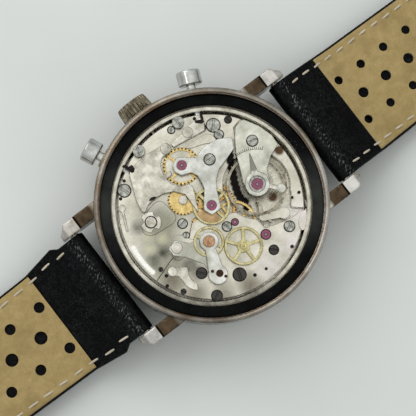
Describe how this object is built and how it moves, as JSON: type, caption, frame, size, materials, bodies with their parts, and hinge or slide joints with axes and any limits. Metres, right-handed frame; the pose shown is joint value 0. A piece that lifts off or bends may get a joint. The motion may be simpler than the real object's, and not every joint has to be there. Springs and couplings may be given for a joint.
{
  "type": "chronograph wristwatch",
  "caption": "Mechanical chronograph wristwatch lying dial down with its back off: round case, crown, pushers, visible movement and perforated leather strap with buckle.",
  "frame": {"origin": "centre of the crystal's flat outer face, which lies on the table", "axes": "+Z towards the open back, +X towards the 12 o'clock strap, +Y towards the crown"},
  "size_m": [0.242, 0.0414, 0.0122],
  "materials": {
    "case_steel": "worn polished plating",
    "crystal": "clear polished",
    "rubber": "satin black rubber",
    "brass": "dull brass",
    "plate": "rhodium silver, fine grain",
    "bridge_bright": "bright polished",
    "steel": "polished steel",
    "dark_steel": "dark screws",
    "gilt": "gilt brass wheel",
    "copper": "copper coloured",
    "ruby": "magenta ruby",
    "dial_silver": "silvered",
    "hand": "black hands",
    "leather_black": "glossy creased black leather",
    "leather_tan": "tan suede lining"
  },
  "bodies": {
    "case": {"case_middle": "case_steel", "bezel": "case_steel", "crystal": "crystal", "back_gasket": "rubber", "movement_ring": "plate", "guide_tubes": "brass", "spring_bars": "steel", "main_plate": "plate", "barrel_bridge": "plate", "train_bridge": "plate", "pallet_cock": "plate", "balance_cock": "plate", "regulator": "steel", "hairspring": "steel", "chronograph_bridge": "bridge_bright", "jewels": "ruby", "posts_and_springs": "steel", "screws": "dark_steel", "dial": "dial_silver"},
    "winding_pinion": {"winding_pinion": "steel"},
    "crown": {"crown": "case_steel", "winding_stem": "steel"},
    "crown_wheel": {"crown_wheel": "steel"},
    "ratchet": {"ratchet_wheel": "steel", "mainspring": "steel"},
    "barrel": {"barrel": "gilt"},
    "centre": {"centre_wheel": "gilt", "minute_hand": "hand"},
    "third": {"third_wheel": "gilt"},
    "fourth": {"fourth_wheel": "gilt", "driving_wheel": "gilt", "seconds_hand": "hand"},
    "escape": {"escape_wheel": "steel"},
    "pallet": {"pallet_fork": "steel"},
    "balance": {"balance_wheel": "steel"},
    "minute_wheel": {"minute_wheel": "gilt"},
    "hour": {"hour_wheel": "gilt", "hour_hand": "hand"},
    "clutch": {"clutch_lever": "bridge_bright", "clutch_screws": "copper"},
    "coupling": {"coupling_wheel": "gilt"},
    "runner": {"chronograph_runner": "gilt", "chrono_hand": "hand"},
    "recorder": {"minute_recorder": "gilt", "counter_hand": "hand"},
    "intermediate": {"intermediate_wheel": "gilt"},
    "hammer": {"hammer": "steel"},
    "operating": {"operating_lever": "steel"},
    "cam": {"switching_cam": "steel"},
    "brake": {"brake_lever": "steel"},
    "start_pusher": {"start_pusher": "case_steel"},
    "reset_pusher": {"reset_pusher": "case_steel"},
    "strap_short": {"strap_short": "leather_black", "strap_short_lining": "leather_tan", "fixed_keeper": "leather_black"},
    "strap_long": {"strap_long": "leather_black", "strap_long_lining": "leather_tan"},
    "sliding_keeper": {"sliding_keeper": "leather_black"},
    "buckle": {"buckle_frame": "case_steel"},
    "tongue": {"buckle_tongue": "case_steel"}
  },
  "joints": [
    {"name": "crown_turn", "type": "hinge", "parent": "case", "child": "winding_pinion", "pos_m": [0, 0.01, 0.006], "axis": [0, 1, 0], "continuous": true},
    {"name": "crown_pull", "type": "slide", "parent": "winding_pinion", "child": "crown", "axis": [0, 1, 0], "range_m": [0, 0.0008]},
    {"name": "crown_wheel_turn", "type": "hinge", "parent": "case", "child": "crown_wheel", "pos_m": [-0.002, 0.0094, 0.007], "axis": [0, 0, 1], "continuous": true},
    {"name": "ratchet_turn", "type": "hinge", "parent": "case", "child": "ratchet", "pos_m": [-0.0052, 0.0046, 0.007], "axis": [0, 0, 1], "continuous": true},
    {"name": "fourth_turn", "type": "hinge", "parent": "case", "child": "fourth", "pos_m": [0.0002, -0.0084, 0.007], "axis": [0, 0, 1], "continuous": true},
    {"name": "barrel_turn", "type": "hinge", "parent": "case", "child": "barrel", "pos_m": [-0.0052, 0.0046, 0.0075], "axis": [0, 0, 1], "continuous": true},
    {"name": "centre_turn", "type": "hinge", "parent": "case", "child": "centre", "pos_m": [0, 0, 0.008], "axis": [0, 0, 1], "continuous": true},
    {"name": "third_turn", "type": "hinge", "parent": "case", "child": "third", "pos_m": [0.0015, -0.0044, 0.0075], "axis": [0, 0, 1], "continuous": true},
    {"name": "escape_turn", "type": "hinge", "parent": "case", "child": "escape", "pos_m": [0.0043, -0.0091, 0.0079], "axis": [0, 0, 1], "continuous": true},
    {"name": "pallet_rock", "type": "hinge", "parent": "case", "child": "pallet", "pos_m": [0.00575, -0.00655, 0.0079], "axis": [0, 0, 1], "range_deg": [-4, 4]},
    {"name": "balance_swing", "type": "hinge", "parent": "case", "child": "balance", "pos_m": [0.00805, -0.00175, 0.0093], "axis": [0, 0, 1], "range_deg": [-270, 270], "stiffness_Nm_per_rad": 0.000001},
    {"name": "minute_wheel_turn", "type": "hinge", "parent": "case", "child": "minute_wheel", "pos_m": [-0.0029, -0.00275, 0.005], "axis": [0, 0, 1], "continuous": true},
    {"name": "hour_turn", "type": "hinge", "parent": "case", "child": "hour", "pos_m": [0, 0, 0.0048], "axis": [0, 0, 1], "continuous": true},
    {"name": "clutch_swing", "type": "hinge", "parent": "case", "child": "clutch", "pos_m": [-0.0087, -0.002, 0.0092], "axis": [0, 0, 1], "range_deg": [0, 2.7]},
    {"name": "coupling_turn", "type": "hinge", "parent": "clutch", "child": "coupling", "pos_m": [-0.0039, -0.0044, 0.0096], "axis": [0, 0, 1], "continuous": true},
    {"name": "runner_turn", "type": "hinge", "parent": "case", "child": "runner", "pos_m": [0, 0, 0.0096], "axis": [0, 0, 1], "continuous": true},
    {"name": "recorder_turn", "type": "hinge", "parent": "case", "child": "recorder", "pos_m": [0.0001, 0.0082, 0.0099], "axis": [0, 0, 1], "continuous": true},
    {"name": "intermediate_turn", "type": "hinge", "parent": "case", "child": "intermediate", "pos_m": [-0.0031, 0.0036, 0.0099], "axis": [0, 0, 1], "continuous": true},
    {"name": "hammer_swing", "type": "hinge", "parent": "case", "child": "hammer", "pos_m": [-0.0003, 0.01195, 0.0092], "axis": [0, 0, 1], "range_deg": [0, 6.4]},
    {"name": "operating_swing", "type": "hinge", "parent": "case", "child": "operating", "pos_m": [0.00425, 0.012, 0.0095], "axis": [0, 0, 1], "range_deg": [-15.4, 0]},
    {"name": "cam_turn", "type": "hinge", "parent": "case", "child": "cam", "pos_m": [-0.0095, 0.0039, 0.0093], "axis": [0, 0, 1], "range_deg": [0, 20]},
    {"name": "brake_swing", "type": "hinge", "parent": "case", "child": "brake", "pos_m": [-0.0116, -0.0047, 0.0092], "axis": [0, 0, 1], "range_deg": [0, 3.5]},
    {"name": "start_push", "type": "slide", "parent": "case", "child": "start_pusher", "axis": [-0.4067, -0.9135, 0], "range_m": [0, 0.0008], "stiffness_N_per_m": 800, "springref_m": -0.001},
    {"name": "reset_push", "type": "slide", "parent": "case", "child": "reset_pusher", "axis": [0.4067, -0.9135, 0], "range_m": [0, 0.0008], "stiffness_N_per_m": 800, "springref_m": -0.001},
    {"name": "strap_short_hinge", "type": "hinge", "parent": "case", "child": "strap_short", "pos_m": [0.02075, 0, 0.0074], "axis": [0, -1, 0], "range_deg": [0, 100]},
    {"name": "strap_long_hinge", "type": "hinge", "parent": "case", "child": "strap_long", "pos_m": [-0.02075, 0, 0.0074], "axis": [0, 1, 0], "range_deg": [0, 100]},
    {"name": "keeper_slide", "type": "slide", "parent": "strap_short", "child": "sliding_keeper", "axis": [-1, 0, 0], "range_m": [-0.006, 0.01]},
    {"name": "buckle_hinge", "type": "hinge", "parent": "strap_short", "child": "buckle", "pos_m": [0.0935, 0, 0.00255], "axis": [0, -1, 0], "range_deg": [0, 60]},
    {"name": "tongue_hinge", "type": "hinge", "parent": "buckle", "child": "tongue", "pos_m": [0.0935, 0, 0.00255], "axis": [0, -1, 0], "range_deg": [0, 80]}
  ],
  "couplings": [
    {"joint": "crown_wheel_turn", "follows": "crown_turn", "ratio": -0.46154},
    {"joint": "ratchet_turn", "follows": "crown_turn", "ratio": 0.28571},
    {"joint": "centre_turn", "follows": "fourth_turn", "ratio": 0.016667},
    {"joint": "third_turn", "follows": "fourth_turn", "ratio": -0.13333},
    {"joint": "escape_turn", "follows": "fourth_turn", "ratio": -10},
    {"joint": "barrel_turn", "follows": "fourth_turn", "ratio": -0.002778},
    {"joint": "minute_wheel_turn", "follows": "fourth_turn", "ratio": -0.005556},
    {"joint": "hour_turn", "follows": "fourth_turn", "ratio": 0.001389},
    {"joint": "coupling_turn", "follows": "fourth_turn", "ratio": -1.25},
    {"joint": "intermediate_turn", "follows": "recorder_turn", "ratio": -1.25},
    {"joint": "hammer_swing", "follows": "reset_push", "rad_per_m": 137.44},
    {"joint": "operating_swing", "follows": "start_push", "rad_per_m": -331.61},
    {"joint": "cam_turn", "follows": "start_push", "rad_per_m": 392.7},
    {"joint": "clutch_swing", "follows": "start_push", "rad_per_m": 56.723},
    {"joint": "brake_swing", "follows": "start_push", "rad_per_m": 69.813}
  ]
}
